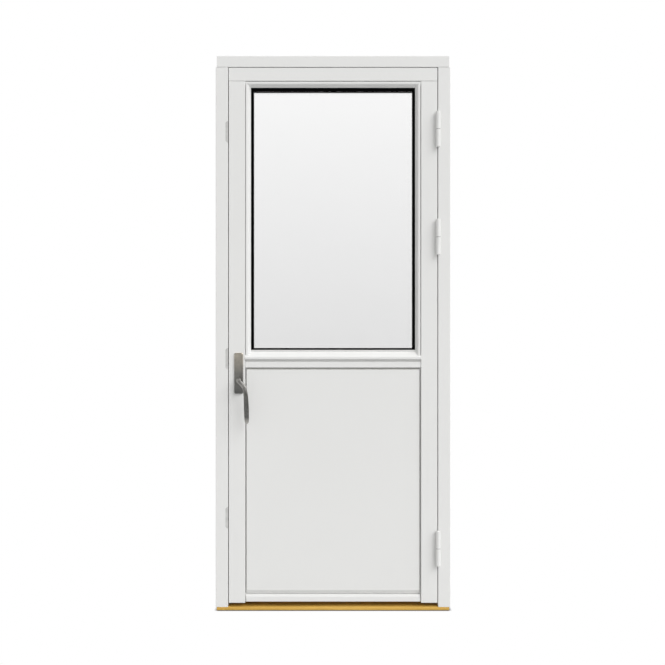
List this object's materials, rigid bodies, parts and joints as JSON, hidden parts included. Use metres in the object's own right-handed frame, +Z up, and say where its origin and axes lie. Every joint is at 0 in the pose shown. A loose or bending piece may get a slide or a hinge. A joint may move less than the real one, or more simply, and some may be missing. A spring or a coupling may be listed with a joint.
{
  "type": "glass door with frame",
  "caption": "Half-glazed painted timber patio door in its frame, with oak sill, lift-off hinges, lever handles and a rod-driven bolt lock.",
  "frame": {"origin": "middle of the underside of the sill, halfway through the frame's depth", "axes": "+X to the right seen from outside, +Y into the room, +Z up"},
  "size_m": [0.88, 0.1792, 2.08],
  "materials": {
    "white_paint": "white paint, satin",
    "oak": "oiled oak",
    "dowel_wood": "bare beech",
    "glass": "clear",
    "spacer_black": "matt black",
    "gasket_rubber": "matt",
    "insulation": "rigid foam",
    "block_plastic": "matt",
    "washer_plastic": "matt",
    "hinge_paint": "white powder coat",
    "zinc_steel": "zinc plated",
    "handle_metal": "polished, slightly dark"
  },
  "bodies": {
    "frame": {"frame_corner_screws": "zinc_steel", "frame_head": "white_paint", "frame_jamb_hinge": "white_paint", "frame_jamb_lock": "white_paint", "gasket_head": "gasket_rubber", "gasket_jamb_hinge": "gasket_rubber", "gasket_jamb_lock": "gasket_rubber", "gasket_sill": "gasket_rubber", "hinge_frame_bottom": "hinge_paint", "hinge_frame_middle": "hinge_paint", "hinge_frame_screws": "zinc_steel", "hinge_frame_top": "hinge_paint", "hinge_pins": "zinc_steel", "hinge_washers": "washer_plastic", "keep_bottom": "zinc_steel", "keep_middle": "zinc_steel", "keep_screws": "zinc_steel", "keep_top": "zinc_steel", "sill": "oak"},
    "leaf": {"bead_hinge": "white_paint", "bead_lock": "white_paint", "bead_nosing": "white_paint", "bead_top": "white_paint", "bottom_rail": "white_paint", "edge_seals": "spacer_black", "faceplate_screws": "zinc_steel", "glass_inner": "glass", "glass_middle": "glass", "glass_outer": "glass", "glazing_gasket_inner": "gasket_rubber", "glazing_gasket_outer": "gasket_rubber", "hinge_leaf_bottom": "hinge_paint", "hinge_leaf_middle": "hinge_paint", "hinge_leaf_screws": "zinc_steel", "hinge_leaf_top": "hinge_paint", "hinge_stile": "white_paint", "leaf_dowels": "dowel_wood", "lock_case": "zinc_steel", "lock_faceplate": "zinc_steel", "lock_stile": "white_paint", "mid_rail": "white_paint", "panel_core": "insulation", "panel_inner_board": "white_paint", "panel_outer_board": "white_paint", "plate_inside": "handle_metal", "plate_outside": "handle_metal", "plate_screws": "handle_metal", "setting_blocks": "block_plastic", "spacer_inner": "spacer_black", "spacer_outer": "spacer_black", "top_rail": "white_paint"},
    "handle": {"lever_outside": "handle_metal", "lever_inside": "handle_metal", "spindle": "zinc_steel", "follower": "zinc_steel"},
    "rod": {"drive_rod": "zinc_steel"},
    "top_bolt": {"bolt_top": "zinc_steel"},
    "middle_bolt": {"bolt_middle": "zinc_steel"},
    "bottom_bolt": {"bolt_bottom": "zinc_steel"}
  },
  "joints": [
    {"name": "leaf_swing", "type": "hinge", "parent": "frame", "child": "leaf", "pos_m": [0.3935, -0.0625, 0], "axis": [0, 0, 1], "range_deg": [0, 160]},
    {"name": "handle_turn", "type": "hinge", "parent": "leaf", "child": "handle", "pos_m": [-0.353, -0.0185, 0.864], "axis": [0, -1, 0], "range_deg": [0, 90]},
    {"name": "rod_slide", "type": "slide", "parent": "leaf", "child": "rod", "axis": [0, 0, -1], "range_m": [0, 0.0189]},
    {"name": "top_bolt_slide", "type": "slide", "parent": "leaf", "child": "top_bolt", "axis": [-1, 0, 0], "range_m": [0, 0.0141]},
    {"name": "middle_bolt_slide", "type": "slide", "parent": "leaf", "child": "middle_bolt", "axis": [-1, 0, 0], "range_m": [0, 0.0141]},
    {"name": "bottom_bolt_slide", "type": "slide", "parent": "leaf", "child": "bottom_bolt", "axis": [-1, 0, 0], "range_m": [0, 0.0141]}
  ],
  "couplings": [
    {"joint": "rod_slide", "follows": "handle_turn", "m_per_rad": 0.012},
    {"joint": "top_bolt_slide", "follows": "handle_turn", "m_per_rad": 0.0089127},
    {"joint": "middle_bolt_slide", "follows": "handle_turn", "m_per_rad": 0.0089127},
    {"joint": "bottom_bolt_slide", "follows": "handle_turn", "m_per_rad": 0.0089127}
  ]
}
